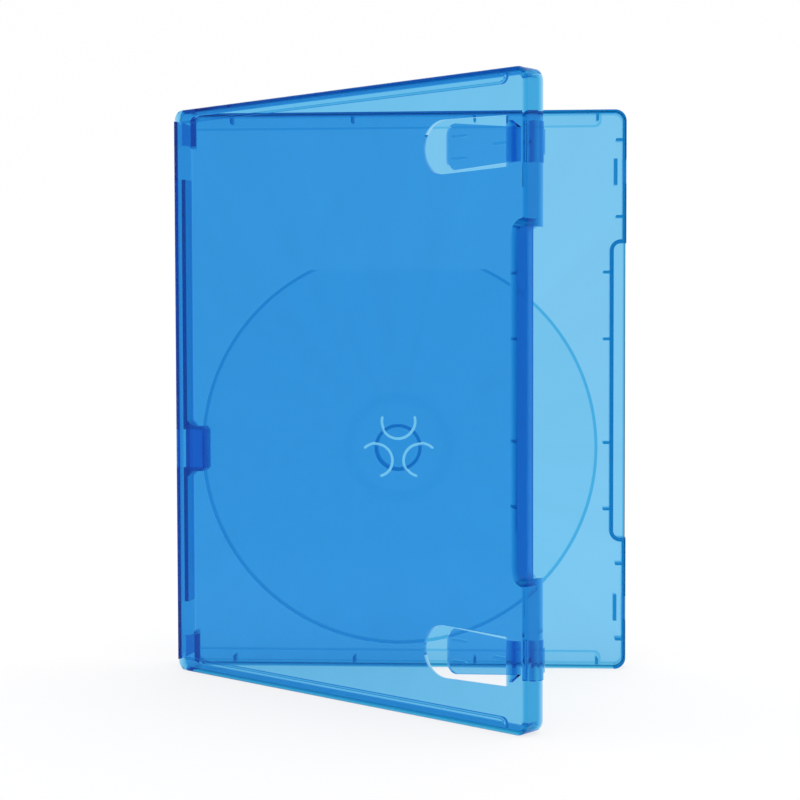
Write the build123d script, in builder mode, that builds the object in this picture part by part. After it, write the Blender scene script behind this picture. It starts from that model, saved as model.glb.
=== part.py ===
from build123d import *
import os

# A disc case moulded in one piece: a front cover, a spine and a back tray, folded at two thin hinges.
# Each panel is drawn on its own outer face: x away from its hinge axis, y along the hinge, z into the case.

# The shut case
CASE_HEIGHT = 171.0
CASE_WIDTH = 135.0
CASE_DEPTH = 14.0
SHUT_GAP = 0.2
CORNER = 3.5
HINGE_CORNER = 3.2
EDGE_ROUND = 0.7

# How far the spine stands open from the tray, and the cover from the spine, in degrees
REAR_OPEN = 10.1
FRONT_OPEN = 28.2

# Thickness of the moulding
PANEL = 1.2
SPINE_PLATE = 1.0
WALL = 1.2

# The thin hinge webs
WEB = 0.4
HINGE_GAP = 0.05
FOLD_GAP = 0.1

# The rim turns along the hinge side for a short way, clear of the shut spine
RETURN_GAP = 0.3
RETURN_LENGTH = 10.5
RETURN_CORNER = 2.8

# Finger notch in the free edge
NOTCH_LENGTH = 90.0
NOTCH_DEPTH = 3.8
NOTCH_CORNER = 2.2
LIP_THICK = 0.7
LIP_RISE = 1.6

# Low bands along the top and bottom walls, with a bead at their edge
TRAY_BAND = 4.75
COVER_BAND = 3.9
BAND_STEP = 0.15
BAND_END = 7.3
BAND_TURN = 2.0
BEAD_WIDTH = 0.6
BEAD_STEP = 0.9

# The disc, and its well with a ring round it that is open at the top
DISC_RADIUS = 60.0
DISC_BORE = 7.5
WELL_PLAY = 0.5
WELL_STEP = 0.2
WELL_OPEN = 5.5
WELL_SIDE = 3.6
WELL_FOOT = 6.5
RING_WIDTH = 0.9
RING_STEP = 1.6

# Disc hub, hollow from behind, with curved slits that free its petals, and the landing round it
HUB_PLAY = 0.2
HUB_RISE = 3.4
HUB_WALL = 1.0
HUB_ROOF = 1.6
HUB_ROUND = 0.6
LANDING_IN = 14.0
LANDING_OUT = 17.0
LANDING_STEP = 0.15
PETALS = 3
SLIT_WIDTH = 0.85
SLIT_RADIUS = 5.2
SLIT_CENTRE = 8.0
SLIT_ARC = 206.0

# Small ribs that stiffen the tray's walls: along the long walls, beside the notch and in the notch
RIB_THICK = 0.9
RIB_LENGTH = 2.0
RIB_DROP = 1.2
LONG_RIBS = 4
LONG_RIB_HINGE = 13.9
LONG_RIB_FREE = 8.7
END_RIB = 9.0
SIDE_RIB = 8.2
NOTCH_END_RIB = 8.7
NOTCH_MID_RIB = 15.9

# The cover's wall is thicker at its free edge and round the notch
FREE_WALL = 2.2

# Latches near the free edge: a tab on the cover goes down between the tray's wall and a catch
LATCH_EDGE = 18.7
LATCH_LENGTH = 10.6
LATCH_THICK = 1.0
LATCH_GAP = 0.2
LATCH_RISE = 4.1
LATCH_BOSS = 1.6
LATCH_REACH = 2.6
LATCH_LEAD = 0.4
SNAP_RADIUS = 0.55
SNAP_LENGTH = 6.5
CATCH_LENGTH = 8.0
CATCH_THICK = 1.1
CATCH_GAP = 0.25
CATCH_DROP = 1.3
WINDOW_DROP = 1.65
WINDOW_PLAY = 0.45

# Booklet clips on the cover, each over the hole that its mould core leaves
HOLE_EDGE = 6.6
HOLE_SIDE_PLAY = 0.75
HOLE_TIP_PLAY = 5.0
HOLE_TAPER = 0.6
BOOKLET_GAP = 2.7
TONGUE_LENGTH = 23.2
TONGUE_THICK = 1.1
TONGUE_TIP_WIDTH = 12.8
TONGUE_ROOT_WIDTH = 8.6
TONGUE_TIP_SHIFT = 0.4
TONGUE_ROOT_SHIFT = 0.5
TONGUE_ROUND = 3.0
POST_THICK = 1.2
POST_FOOT = 11.2
GRIP_WIDTH = 0.8
GRIP_LENGTH = 5.0
GRIP_STEP = 0.5
GRIP_SPREAD = 2.9
GRIP_BACK = 4.6

# Raised strip along the inside of the spine, and the hollow stop that stands over the disc's edge
STRIP_WIDTH = 5.7
STRIP_STEP = 1.2
STRIP_INSET = 17.3
STOP_LENGTH = 13.8
STOP_RISE = 5.6
STOP_WALL = 1.0
STOP_CHAMFER = 1.0
STOP_GUSSET = 1.8

# What follows from the sizes above
HALF_DEPTH = (CASE_DEPTH - SHUT_GAP) / 2
HALF_HEIGHT = CASE_HEIGHT / 2
LEAF = CASE_WIDTH - WEB / 2
SPINE_SPAN = CASE_DEPTH - WEB
SPINE_HEIGHT = CASE_HEIGHT - 2 * HINGE_CORNER
HINGE_EDGE = WEB / 2 + HINGE_GAP
RETURN_OUT = SPINE_PLATE + RETURN_GAP
WALL_IN = LEAF - WALL
NOTCH_IN = LEAF - NOTCH_DEPTH - WALL
WELL_RADIUS = DISC_RADIUS + WELL_PLAY
WELL_FLOOR = PANEL + WELL_STEP
DISC_X = WELL_SIDE + RING_WIDTH + WELL_RADIUS
DISC_Y = WELL_FOOT + RING_WIDTH + WELL_RADIUS - HALF_HEIGHT
HUB_RADIUS = DISC_BORE - HUB_PLAY
HUB_TOP = WELL_FLOOR + HUB_RISE
LONG_RIB_PITCH = (LEAF - LONG_RIB_HINGE - LONG_RIB_FREE) / (LONG_RIBS - 1)
LONG_RIB_MID = (LEAF + LONG_RIB_HINGE - LONG_RIB_FREE) / 2
FREE_RIBS = (NOTCH_LENGTH / 2 + SIDE_RIB, HALF_HEIGHT - END_RIB)
NOTCH_RIBS = (NOTCH_MID_RIB, NOTCH_LENGTH / 2 - NOTCH_END_RIB)
LATCH_Y = HALF_HEIGHT - LATCH_EDGE
LATCH_OUT = WALL_IN - LATCH_GAP
LATCH_IN = LATCH_OUT - LATCH_THICK
LATCH_TIP = HALF_DEPTH + LATCH_REACH
BOSS_IN = LATCH_IN - LATCH_BOSS
CATCH_OUT = LATCH_IN - CATCH_GAP
WINDOW_MID = HALF_DEPTH - WINDOW_DROP
HOLE_FREE = LEAF - HOLE_EDGE
HOLE_HEIGHT = TONGUE_TIP_WIDTH + 2 * HOLE_SIDE_PLAY
TONGUE_TIP = HOLE_FREE - TONGUE_LENGTH
TONGUE_LOW = PANEL + BOOKLET_GAP
HOLE_ROUND_X = TONGUE_TIP - HOLE_TIP_PLAY + HOLE_HEIGHT / 2
STRIP_TOP = SPINE_PLATE + STRIP_STEP
STOP_TOP = STRIP_TOP + STOP_RISE

# The tray stands upright with its bottom edge centred on the frame's origin; the other panels swing from it
TRAY_ALONG = Vector(1, 0, 0)
TRAY_IN = Vector(0, -1, 0)
SPINE_ALONG = Vector(0, -1, 0).rotate(Axis.Z, -REAR_OPEN)
SPINE_IN = Vector(1, 0, 0).rotate(Axis.Z, -REAR_OPEN)
COVER_ALONG = Vector(1, 0, 0).rotate(Axis.Z, -REAR_OPEN - FRONT_OPEN)
COVER_IN = Vector(0, 1, 0).rotate(Axis.Z, -REAR_OPEN - FRONT_OPEN)
REAR_AXIS = Vector(WEB / 2 - CASE_WIDTH / 2, HALF_DEPTH / 2 - WEB / 2, CASE_HEIGHT / 2)
FRONT_AXIS = REAR_AXIS + SPINE_ALONG * SPINE_SPAN


def face_plane(axis, along, inward):
    """Plane of a panel's outer face, its origin beside the hinge axis."""
    return Plane(origin=axis - inward * (WEB / 2), x_dir=along, z_dir=inward)


def section_plane(plane, y=0):
    """Plane across the hinge, y from mid-height: its x runs along the panel and its y into the case."""
    return Plane(origin=plane.origin + plane.y_dir * y, x_dir=plane.x_dir, z_dir=-plane.y_dir)


def post_plane(y):
    """Plane of a clip's post, y from mid-height: its x runs along the hinge and its y into the case."""
    foot = cover_plane.origin + cover_plane.x_dir * HOLE_FREE + cover_plane.y_dir * y
    return Plane(origin=foot, x_dir=cover_plane.y_dir, z_dir=cover_plane.x_dir)


def rim_area():
    """Area that the rim wall goes round, set in at the spine and at the notch."""
    with BuildSketch() as area:
        with Locations((LEAF, 0)):
            Rectangle(LEAF - RETURN_OUT, CASE_HEIGHT, align=(Align.MAX, Align.CENTER))
        fillet(area.vertices().group_by(Axis.X)[0], RETURN_CORNER)
        fillet(area.vertices().group_by(Axis.X)[-1], CORNER)
        with Locations((LEAF, 0)):
            RectangleRounded(2 * NOTCH_DEPTH, NOTCH_LENGTH, NOTCH_CORNER, mode=Mode.SUBTRACT)
    return area.sketch_local


def band_area(band, end):
    """The two bands inside the rim, each turned into the wall at the end by the free edge."""
    with BuildSketch() as area:
        add(rim_area())
        Rectangle(2 * LEAF, CASE_HEIGHT - 2 * band, mode=Mode.SUBTRACT)
        with Locations((LEAF - end, 0)):
            Rectangle(LEAF, CASE_HEIGHT, align=(Align.MIN, Align.CENTER), mode=Mode.SUBTRACT)
        fillet(area.vertices().group_by(Axis.X)[-1].sort_by(Axis.Y)[1:3], BAND_TURN)
    return area.sketch_local


def slit_area():
    """One slit of the hub, curved round a point out from the hub's axis and open outwards."""
    with BuildSketch() as area:
        SlotArc(CenterArc((SLIT_CENTRE, 0), SLIT_RADIUS, 180 - SLIT_ARC / 2, SLIT_ARC), SLIT_WIDTH)
    return area.sketch_local


def tongue_area():
    """A clip's tongue, from the back of its post to the round tip, which leans to the end of the case."""
    with BuildSketch() as area:
        Polygon(
            (-TONGUE_LENGTH, TONGUE_TIP_SHIFT - TONGUE_TIP_WIDTH / 2),
            (POST_THICK, -TONGUE_ROOT_SHIFT - TONGUE_ROOT_WIDTH / 2),
            (POST_THICK, TONGUE_ROOT_WIDTH / 2 - TONGUE_ROOT_SHIFT),
            (-TONGUE_LENGTH, TONGUE_TIP_SHIFT + TONGUE_TIP_WIDTH / 2), align=None)
        fillet(area.vertices().group_by(Axis.X)[0], TONGUE_ROUND)
    return area.sketch_local


def leaf_shell(band):
    """Floor, thinned hinge edge, rim wall, notch lip and edge bands, which both leaves have, drawn flat."""
    with BuildPart() as shell:
        with BuildSketch() as face:
            with Locations((LEAF, 0)):
                Rectangle(CASE_WIDTH, CASE_HEIGHT, align=(Align.MAX, Align.CENTER))
            fillet(face.vertices().group_by(Axis.X)[0], HINGE_CORNER)
            fillet(face.vertices().group_by(Axis.X)[-1], CORNER)
        extrude(amount=PANEL)
        fillet(shell.faces().sort_by(Axis.Z)[0].edges(), EDGE_ROUND)
        with BuildSketch():
            with Locations((HINGE_EDGE, 0)):
                Rectangle(WEB + HINGE_GAP, CASE_HEIGHT, align=(Align.MAX, Align.CENTER))
        extrude(amount=PANEL, mode=Mode.SUBTRACT)
        with BuildSketch(section_plane(Plane.XY)):
            Polygon(
                (0, WEB), (WEB / 2 + FOLD_GAP, WEB), (PANEL - WEB / 2 + FOLD_GAP, PANEL), (0, PANEL),
                align=None)
        extrude(amount=CASE_HEIGHT, both=True, mode=Mode.SUBTRACT)
        with BuildSketch(Plane.XY.offset(EDGE_ROUND)):
            add(rim_area())
            offset(amount=-WALL, mode=Mode.SUBTRACT)
            Rectangle(2 * CORNER, CASE_HEIGHT - 2 * RETURN_LENGTH, mode=Mode.SUBTRACT)
        extrude(amount=HALF_DEPTH - EDGE_ROUND)
        with BuildSketch(Plane.XY.offset(EDGE_ROUND)):
            with Locations((LEAF, 0)):
                Rectangle(LIP_THICK, NOTCH_LENGTH, align=(Align.MAX, Align.CENTER))
        extrude(amount=PANEL + LIP_RISE - EDGE_ROUND)
        with BuildSketch(Plane.XY.offset(PANEL)):
            add(band_area(band, BAND_END))
        extrude(amount=BAND_STEP)
        with BuildSketch(Plane.XY.offset(PANEL)):
            add(band_area(band, BAND_END))
            add(band_area(band - BEAD_WIDTH, BAND_END + BEAD_WIDTH), mode=Mode.SUBTRACT)
        extrude(amount=BEAD_STEP)
    return shell.part


tray_plane = face_plane(REAR_AXIS, TRAY_ALONG, TRAY_IN)
spine_plane = face_plane(REAR_AXIS, SPINE_ALONG, SPINE_IN)
cover_plane = face_plane(FRONT_AXIS, COVER_ALONG, COVER_IN)
stop_plane = Plane(
    origin=spine_plane.origin + SPINE_ALONG * (SPINE_SPAN / 2) + spine_plane.y_dir * -DISC_Y,
    x_dir=spine_plane.y_dir, z_dir=spine_plane.x_dir)
tray_shell = tray_plane.from_local_coords(leaf_shell(TRAY_BAND))
cover_shell = cover_plane.from_local_coords(leaf_shell(COVER_BAND))

os.makedirs("parts", exist_ok=True)

# Back tray: the leaf that holds the disc
with BuildPart() as back_tray:
    add(tray_shell)
    # Well floor, a little thicker than the rest, and the ring round it
    with BuildSketch(tray_plane.offset(PANEL)):
        with Locations((DISC_X, DISC_Y)):
            Circle(WELL_RADIUS)
        with Locations((DISC_X, DISC_Y + WELL_RADIUS - WELL_OPEN)):
            Rectangle(2 * WELL_RADIUS, CASE_HEIGHT, align=(Align.CENTER, Align.MIN), mode=Mode.SUBTRACT)
    extrude(amount=WELL_STEP)
    with BuildSketch(tray_plane.offset(PANEL)):
        with Locations((DISC_X, DISC_Y)):
            Circle(WELL_RADIUS + RING_WIDTH)
            Circle(WELL_RADIUS, mode=Mode.SUBTRACT)
        with Locations((DISC_X, DISC_Y + WELL_RADIUS - WELL_OPEN)):
            Rectangle(2 * WELL_RADIUS, CASE_HEIGHT, align=(Align.CENTER, Align.MIN), mode=Mode.SUBTRACT)
    extrude(amount=RING_STEP)
    # Landing for the disc, and the hub
    with BuildSketch(tray_plane.offset(WELL_FLOOR)):
        with Locations((DISC_X, DISC_Y)):
            Circle(LANDING_OUT)
            Circle(LANDING_IN, mode=Mode.SUBTRACT)
    extrude(amount=LANDING_STEP)
    with BuildSketch(tray_plane.offset(PANEL)):
        with Locations((DISC_X, DISC_Y)):
            Circle(HUB_RADIUS)
    extrude(amount=HUB_TOP - PANEL)
    fillet(back_tray.edges(Select.LAST).group_by(Axis(tray_plane.origin, TRAY_IN))[-1], HUB_ROUND)
    with BuildSketch(tray_plane):
        with Locations((DISC_X, DISC_Y)):
            Circle(HUB_RADIUS - HUB_WALL)
    extrude(amount=HUB_TOP - HUB_ROOF, mode=Mode.SUBTRACT)
    with BuildSketch(tray_plane):
        with Locations((DISC_X, DISC_Y)):
            with PolarLocations(0, PETALS, start_angle=90):
                add(slit_area())
    extrude(amount=CASE_DEPTH, mode=Mode.SUBTRACT)
    # Stiffening ribs on the long walls, the free wall and the notch wall, ending in the wall
    with BuildSketch(tray_plane.offset(PANEL)):
        with Locations((LONG_RIB_MID, 0)):
            with GridLocations(LONG_RIB_PITCH, CASE_HEIGHT - 2 * WALL, LONG_RIBS, 2):
                SlotOverall(2 * RIB_LENGTH, RIB_THICK, rotation=90)
        with Locations(*[(WALL_IN, side * y) for y in FREE_RIBS for side in (-1, 1)]):
            SlotOverall(2 * RIB_LENGTH, RIB_THICK)
        with Locations(*[(NOTCH_IN, side * y) for y in NOTCH_RIBS for side in (-1, 1)]):
            SlotOverall(2 * RIB_LENGTH, RIB_THICK)
        add(rim_area(), mode=Mode.INTERSECT)
    extrude(amount=HALF_DEPTH - RIB_DROP - PANEL)
    # Catches, and the windows in the wall that the cover's snaps go into
    with BuildSketch(tray_plane.offset(PANEL)):
        with Locations((CATCH_OUT, -LATCH_Y), (CATCH_OUT, LATCH_Y)):
            Rectangle(CATCH_THICK, CATCH_LENGTH, align=(Align.MAX, Align.CENTER))
    extrude(amount=HALF_DEPTH - CATCH_DROP - PANEL)
    with BuildSketch(tray_plane.offset(WINDOW_MID)):
        with Locations((LEAF, -LATCH_Y), (LEAF, LATCH_Y)):
            Rectangle(2 * WALL + LATCH_GAP, SNAP_LENGTH + 2 * WINDOW_PLAY)
    extrude(amount=SNAP_RADIUS + WINDOW_PLAY, both=True, mode=Mode.SUBTRACT)
back_tray.part.label = "back_tray"
export_step(back_tray.part, "parts/back_tray.step")

# Spine: a plate with a thin web along both sides, which turns on the hinge axes
with BuildPart() as spine:
    with BuildSketch(section_plane(spine_plane)):
        Polygon(
            (0, 0), (SPINE_SPAN, 0), (SPINE_SPAN, WEB), (SPINE_SPAN - WEB / 2 - FOLD_GAP, WEB),
            (SPINE_SPAN - SPINE_PLATE + WEB / 2 - FOLD_GAP, SPINE_PLATE),
            (SPINE_PLATE - WEB / 2 + FOLD_GAP, SPINE_PLATE), (WEB / 2 + FOLD_GAP, WEB), (0, WEB), align=None)
        with Locations((0, WEB / 2), (SPINE_SPAN, WEB / 2)):
            Circle(WEB / 2)
    extrude(amount=SPINE_HEIGHT / 2, both=True)
    # Raised strip, and the stop with its chamfered end and gusset feet
    with BuildSketch(spine_plane.offset(SPINE_PLATE)):
        with Locations((SPINE_SPAN / 2, 0)):
            Rectangle(STRIP_WIDTH, SPINE_HEIGHT - 2 * STRIP_INSET)
    extrude(amount=STRIP_STEP)
    with BuildSketch(stop_plane):
        Polygon(
            (-STOP_LENGTH / 2 - STOP_GUSSET, STRIP_TOP), (-STOP_LENGTH / 2, STRIP_TOP + STOP_GUSSET),
            (-STOP_LENGTH / 2, STOP_TOP - STOP_CHAMFER), (STOP_CHAMFER - STOP_LENGTH / 2, STOP_TOP),
            (STOP_LENGTH / 2 - STOP_CHAMFER, STOP_TOP), (STOP_LENGTH / 2, STOP_TOP - STOP_CHAMFER),
            (STOP_LENGTH / 2, STRIP_TOP + STOP_GUSSET), (STOP_LENGTH / 2 + STOP_GUSSET, STRIP_TOP),
            align=None)
    extrude(amount=STRIP_WIDTH / 2, both=True)
    with BuildSketch(spine_plane):
        with Locations((SPINE_SPAN / 2, -DISC_Y)):
            Rectangle(STRIP_WIDTH - 2 * STOP_WALL, STOP_LENGTH - 2 * STOP_WALL)
    extrude(amount=STOP_TOP - STOP_WALL, mode=Mode.SUBTRACT)
spine.part.label = "spine"
export_step(spine.part, "parts/spine.step")

# Front cover: the leaf with the booklet clips and the latch tabs
with BuildPart() as front_cover:
    add(cover_shell)
    # Mould holes, round towards the hinge
    with BuildSketch(cover_plane):
        with Locations((HOLE_FREE, -LATCH_Y), (HOLE_FREE, LATCH_Y)):
            Polygon(
                (0, HOLE_TAPER - HOLE_HEIGHT / 2), (0, HOLE_HEIGHT / 2 - HOLE_TAPER),
                (HOLE_ROUND_X - HOLE_FREE, HOLE_HEIGHT / 2), (HOLE_ROUND_X - HOLE_FREE, -HOLE_HEIGHT / 2),
                align=None)
        with Locations((HOLE_ROUND_X, -LATCH_Y), (HOLE_ROUND_X, LATCH_Y)):
            Circle(HOLE_HEIGHT / 2)
    extrude(amount=CASE_DEPTH, mode=Mode.SUBTRACT)
    # Booklet clips: a post at the straight end of the hole, a tongue that widens to its tip, and grips
    for side in (-1, 1):
        with BuildSketch(post_plane(side * LATCH_Y)):
            Polygon(
                (-POST_FOOT / 2, PANEL / 2), (POST_FOOT / 2, PANEL / 2),
                (TONGUE_ROOT_WIDTH / 2 - side * TONGUE_ROOT_SHIFT, TONGUE_LOW + TONGUE_THICK),
                (-TONGUE_ROOT_WIDTH / 2 - side * TONGUE_ROOT_SHIFT, TONGUE_LOW + TONGUE_THICK), align=None)
        extrude(amount=POST_THICK)
    with BuildSketch(cover_plane.offset(TONGUE_LOW)):
        with Locations((HOLE_FREE, LATCH_Y)):
            add(tongue_area())
        mirror(about=Plane.XZ)
    extrude(amount=TONGUE_THICK)
    with BuildSketch(cover_plane.offset(TONGUE_LOW)):
        for y in (-LATCH_Y, LATCH_Y):
            with Locations(
                    (TONGUE_TIP + GRIP_BACK, y - GRIP_SPREAD), (TONGUE_TIP + GRIP_BACK, y + GRIP_SPREAD),
                    (HOLE_FREE - GRIP_BACK, y)):
                SlotOverall(GRIP_LENGTH, GRIP_WIDTH)
    extrude(amount=-GRIP_STEP)
    # Thick wall at the free edge and round the notch
    with BuildSketch(cover_plane.offset(PANEL / 2)):
        add(rim_area())
        offset(amount=-FREE_WALL, mode=Mode.SUBTRACT)
        Rectangle(2 * (LEAF - NOTCH_DEPTH - FREE_WALL), CASE_HEIGHT, mode=Mode.SUBTRACT)
        Rectangle(2 * CASE_WIDTH, CASE_HEIGHT - 2 * FREE_WALL, mode=Mode.INTERSECT)
    extrude(amount=HALF_DEPTH - PANEL / 2)
    # Latch tabs, each on a boss, with a lead-in at the tip, and the snap on their outer face
    with BuildSketch(*[section_plane(cover_plane, y) for y in (-LATCH_Y, LATCH_Y)]):
        Polygon(
            (BOSS_IN, PANEL + LATCH_RISE), (WALL_IN + WALL / 2, PANEL + LATCH_RISE),
            (WALL_IN + WALL / 2, HALF_DEPTH), (LATCH_OUT, HALF_DEPTH), (LATCH_OUT, LATCH_TIP - LATCH_LEAD),
            (LATCH_OUT - LATCH_LEAD, LATCH_TIP), (LATCH_IN, LATCH_TIP), (LATCH_IN, HALF_DEPTH),
            (BOSS_IN, HALF_DEPTH), align=None)
    extrude(amount=LATCH_LENGTH / 2, both=True)
    with BuildSketch(*[section_plane(cover_plane, y) for y in (-LATCH_Y, LATCH_Y)]):
        with Locations((LATCH_OUT, CASE_DEPTH - WINDOW_MID)):
            Circle(SNAP_RADIUS)
    extrude(amount=SNAP_LENGTH / 2, both=True)
front_cover.part.label = "front_cover"
export_step(front_cover.part, "parts/front_cover.step")
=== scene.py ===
import math

import bpy
import numpy as np
from mathutils import Matrix

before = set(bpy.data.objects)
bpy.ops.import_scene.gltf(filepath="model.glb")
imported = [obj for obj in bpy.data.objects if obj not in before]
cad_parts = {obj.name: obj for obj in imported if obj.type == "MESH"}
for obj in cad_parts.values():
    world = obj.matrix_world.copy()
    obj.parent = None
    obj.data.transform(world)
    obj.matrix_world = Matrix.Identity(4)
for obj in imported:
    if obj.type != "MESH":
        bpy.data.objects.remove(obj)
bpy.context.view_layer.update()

# Back tray
# The far leaf that holds the disc, moulded with the spine and the cover in one shot of clear blue polypropylene.
# Melt enters behind the hub and runs outwards, so faint streaks of dye spread from there over the whole case.
GATE = (-0.0023, 0.0, 0.0679)
STREAK_SCALE, STREAK = 9.0, 0.03
SCUFF_SCALE, SCUFF_GAIN, SCUFF_LOSS = 90.0, 0.10, 0.02
SKIN = (0.5, 0.72, 0.96)
BODY, BODY_DENSITY = (0.0, 0.74, 0.885, 1.0), 770.0
REFRACTION = 1.12
GLOSS, GLOSS_ROUGHNESS = 0.12, 0.05


class Shade:
    """A socket of a node tree. Minus and times on it add Math nodes, and node() adds any other node."""

    def __init__(self, tree, socket):
        self.tree = tree
        self.socket = socket

    def node(self, kind, settings, sockets, out=0):
        """A new node of a kind: its settings first, then its sockets by name or number. Gives one output."""
        made = self.tree.nodes.new(kind)
        for name, value in settings.items():
            setattr(made, name, value)
        for key, value in sockets.items():
            if isinstance(value, Shade):
                self.tree.links.new(value.socket, made.inputs[key])
            else:
                made.inputs[key].default_value = value
        return Shade(self.tree, made.outputs[out])

    def maths(self, operation, *values):
        """A Math node on these values in order."""
        return self.node("ShaderNodeMath", {"operation": operation}, dict(enumerate(values)))

    def __sub__(self, other):
        return self.maths("SUBTRACT", self, other)

    def __rsub__(self, other):
        return self.maths("SUBTRACT", other, self)

    def __mul__(self, other):
        return self.maths("MULTIPLY", self, other)

    __rmul__ = __mul__


# The plastic's skin tints the light that passes, and its body takes more with each millimetre.
# Streaks are noise on the direction from the gate. Scuffs, which dull the polish, are noise on the place itself.
plastic = bpy.data.materials.new("blue_polypropylene")
plastic.use_nodes = True
tree = plastic.node_tree
moulded = tree.nodes["Principled BSDF"]
place = Shade(tree, tree.nodes.new("ShaderNodeTexCoord").outputs["Object"])
reach = place.node("ShaderNodeVectorMath", {"operation": "SUBTRACT"}, {0: place, 1: GATE})
bearing = place.node("ShaderNodeVectorMath", {"operation": "NORMALIZE"}, {0: reach})
flow = place.node(
    "ShaderNodeTexNoise", {}, {"Vector": bearing, "Scale": STREAK_SCALE, "Detail": 2.0, "Roughness": 0.6})
scuff = place.node(
    "ShaderNodeTexNoise", {}, {"Vector": place, "Scale": SCUFF_SCALE, "Detail": 2.0, "Roughness": 0.65})
haze = SCUFF_GAIN * scuff - SCUFF_LOSS
deep = tuple((1 - STREAK) * c for c in SKIN) + (1.0,)
pale = tuple((1 + STREAK) * c for c in SKIN) + (1.0,)
tint = place.node("ShaderNodeMix", {"data_type": "RGBA"}, {0: flow, 6: deep, 7: pale}, 2)
inside = place.node("ShaderNodeVolumeAbsorption", {}, {"Color": BODY, "Density": BODY_DENSITY})
tree.links.new(tint.socket, moulded.inputs["Base Color"])
tree.links.new(haze.socket, moulded.inputs["Roughness"])
tree.links.new(inside.socket, tree.nodes["Material Output"].inputs["Volume"])
moulded.inputs["IOR"].default_value = REFRACTION
moulded.inputs["Coat Weight"].default_value = GLOSS
moulded.inputs["Coat Roughness"].default_value = GLOSS_ROUGHNESS
moulded.inputs["Transmission Weight"].default_value = 1.0


def dress(node):
    """Puts the plastic on a node of the moulding."""
    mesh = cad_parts[node].data
    mesh.materials.clear()
    mesh.materials.append(plastic)


dress("back_tray")

# Spine
# The narrow plate between the leaves, part of the same shot and so of the same plastic.
# It carries a raised strip and the hollow disc stop, and thins to a web along both sides, where the case folds.
dress("spine")

# Front cover
# The near leaf, part of the same shot and so of the same plastic, flat and polished outside.
# Inside it has the booklet clips, each over the hole that its mould core leaves, and the latch tabs.
dress("front_cover")

# Studio
# White paper laid flat and curved up into a wall all round, one wide soft light above and one on the wall behind.
# The paper glows with painted light, brightest behind the case and in a painted pool of light round its foot.
FLOOR_RADIUS, COVE_RADIUS, WALL_TOP = 1.0, 1.0, 4.0
LIGHT_POOL_CENTRE, LIGHT_POOL_RADIUS, LIGHT_POOL_EDGE = (0.03, -0.02, 0.0), 0.18, 0.45
FRONT_SIDE, BACK_SIDE = -0.2, 0.4
PAPER, BRIGHT, DIM = (0.2, 0.2, 0.2, 1.0), (1.0, 1.0, 1.0, 1.0), (0.6, 0.6, 0.6, 1.0)
GLOW = 0.75
LIGHT_SIZE, LIGHT_POWER = 2.0, 20.0
SKY = 0.6


def cove(around):
    """Floor, quarter round and wall: a profile of radius and height, turned about z in this many steps."""
    bend = np.linspace(0, math.pi / 2, 25)
    radius = np.concatenate(([0.0], FLOOR_RADIUS + COVE_RADIUS * np.sin(bend), [FLOOR_RADIUS + COVE_RADIUS]))
    height = np.concatenate(([0.0], COVE_RADIUS * (1 - np.cos(bend)), [WALL_TOP]))
    angle = np.linspace(0, 2 * math.pi, around, endpoint=False)[:, None]
    points = np.stack(np.broadcast_arrays(radius * np.cos(angle), radius * np.sin(angle), height), axis=-1)
    row = len(radius)
    ray = row * np.arange(around)[:, None, None]
    step = np.arange(row - 1)[None, :, None]
    after = np.roll(ray, -1, axis=0)
    faces = np.concatenate((ray + step, ray + step + 1, after + step + 1, after + step), axis=-1)
    return points.reshape(-1, 3), faces.reshape(-1, 4)[:, ::-1]


points, faces = cove(64)
paper_mesh = bpy.data.meshes.new("floor")
paper_mesh.from_pydata(points.tolist(), [], faces.tolist())
paper_mesh.shade_smooth()
floor = bpy.data.objects.new("floor", paper_mesh)
bpy.context.scene.collection.objects.link(floor)
paper = bpy.data.materials.new("white_paper")
paper.use_nodes = True
paper.cycles.emission_sampling = "NONE"
tree = paper.node_tree
coated = tree.nodes["Principled BSDF"]
spot = Shade(tree, tree.nodes.new("ShaderNodeTexCoord").outputs["Object"])
# Painted light: a pool of light painted round the case's foot, and painted brightening of the paper behind the
# case, both set in the paper's glow colour.
away = spot.node("ShaderNodeVectorMath", {"operation": "DISTANCE"}, {0: spot, 1: LIGHT_POOL_CENTRE}, "Value")
side = spot.node("ShaderNodeVectorMath", {"operation": "NORMALIZE"}, {0: spot})
depth = spot.node("ShaderNodeSeparateXYZ", {}, {0: side}, "Y")
smooth = {"interpolation_type": "SMOOTHSTEP"}
painted_light_pool = spot.node("ShaderNodeMapRange", smooth, {0: away, 1: LIGHT_POOL_RADIUS, 2: LIGHT_POOL_EDGE, 3: 1.0, 4: 0.0})
painted_back_light = spot.node("ShaderNodeMapRange", smooth, {0: depth, 1: FRONT_SIDE, 2: BACK_SIDE})
painted_light = spot.maths("MAXIMUM", painted_light_pool, painted_back_light)
glow = spot.node("ShaderNodeMix", {"data_type": "RGBA"}, {0: painted_light, 6: DIM, 7: BRIGHT}, 2)
tree.links.new(glow.socket, coated.inputs["Emission Color"])
coated.inputs["Emission Strength"].default_value = GLOW
coated.inputs["Base Color"].default_value = PAPER
coated.inputs["Roughness"].default_value = 0.9
coated.inputs["Specular IOR Level"].default_value = 0.0
paper_mesh.materials.append(paper)


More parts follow.
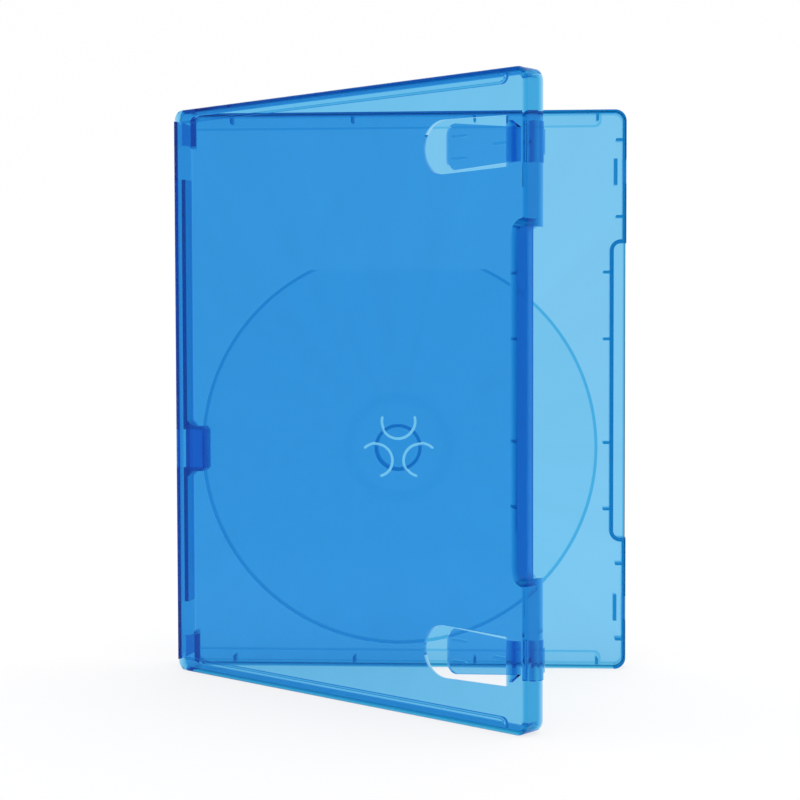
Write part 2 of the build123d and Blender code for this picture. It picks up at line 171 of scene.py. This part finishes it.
def soft_light(name, stand, aim):
    """A square soft light at a stand, turned to an aim."""
    lamp = bpy.data.lights.new(name, "AREA")
    lamp.size = LIGHT_SIZE
    lamp.energy = LIGHT_POWER
    made = bpy.data.objects.new(name, lamp)
    toward = np.array(aim) - np.array(stand)
    toward = toward / np.linalg.norm(toward)
    across = np.cross(toward, (0.0, 1e-3, 1.0))
    across = across / np.linalg.norm(across)
    up = np.cross(across, toward)
    made.matrix_world = Matrix([[across[k], up[k], -toward[k], stand[k]] for k in range(3)] + [[0, 0, 0, 1]])
    bpy.context.scene.collection.objects.link(made)


soft_light("top_softbox", (0.3, -0.2, 1.9), (0.0, 0.0, 0.0))
soft_light("wall_light", (0.0, 0.2, 2.2), (0.0, 2.0, 0.9))
world = bpy.data.worlds.new("studio")
bpy.context.scene.world = world
world.use_nodes = True
world.node_tree.nodes["Background"].inputs["Color"].default_value = (1.0, 1.0, 1.0, 1.0)
world.node_tree.nodes["Background"].inputs["Strength"].default_value = SKY

# Camera
# It stands at the photo's view: the eye in metres, its turn, tilt and roll in degrees, and a lens in millimetres.
EYE = (0.02998, -0.52737, 0.10430)
TURN, TILT, ROLL, LEVEL = 3.452, -2.351, 0.152, 90.0
LENS, FRAME = 76.81, 36.0
turned = Matrix.Identity(3)
for angle, axis in ((TURN, "Z"), (TILT, "X"), (ROLL, "Y"), (LEVEL, "X")):
    turned = turned @ Matrix.Rotation(math.radians(angle), 3, axis)
lens = bpy.data.cameras.new("photo_camera")
lens.sensor_width = FRAME
lens.lens = LENS
lens.clip_start = 0.01
camera = bpy.data.objects.new("photo_camera", lens)
camera.matrix_world = Matrix.Translation(EYE) @ turned.to_4x4()
bpy.context.scene.collection.objects.link(camera)
bpy.context.scene.camera = camera
bpy.context.scene.view_settings.view_transform = "Standard"

# Light passes many thin walls on its way through the case, and is scattered once at most by the paper
BOUNCES, PAPER_BOUNCES = 16, 1
bpy.context.scene.cycles.max_bounces = BOUNCES
bpy.context.scene.cycles.transmission_bounces = BOUNCES
bpy.context.scene.cycles.glossy_bounces = BOUNCES
bpy.context.scene.cycles.diffuse_bounces = PAPER_BOUNCES
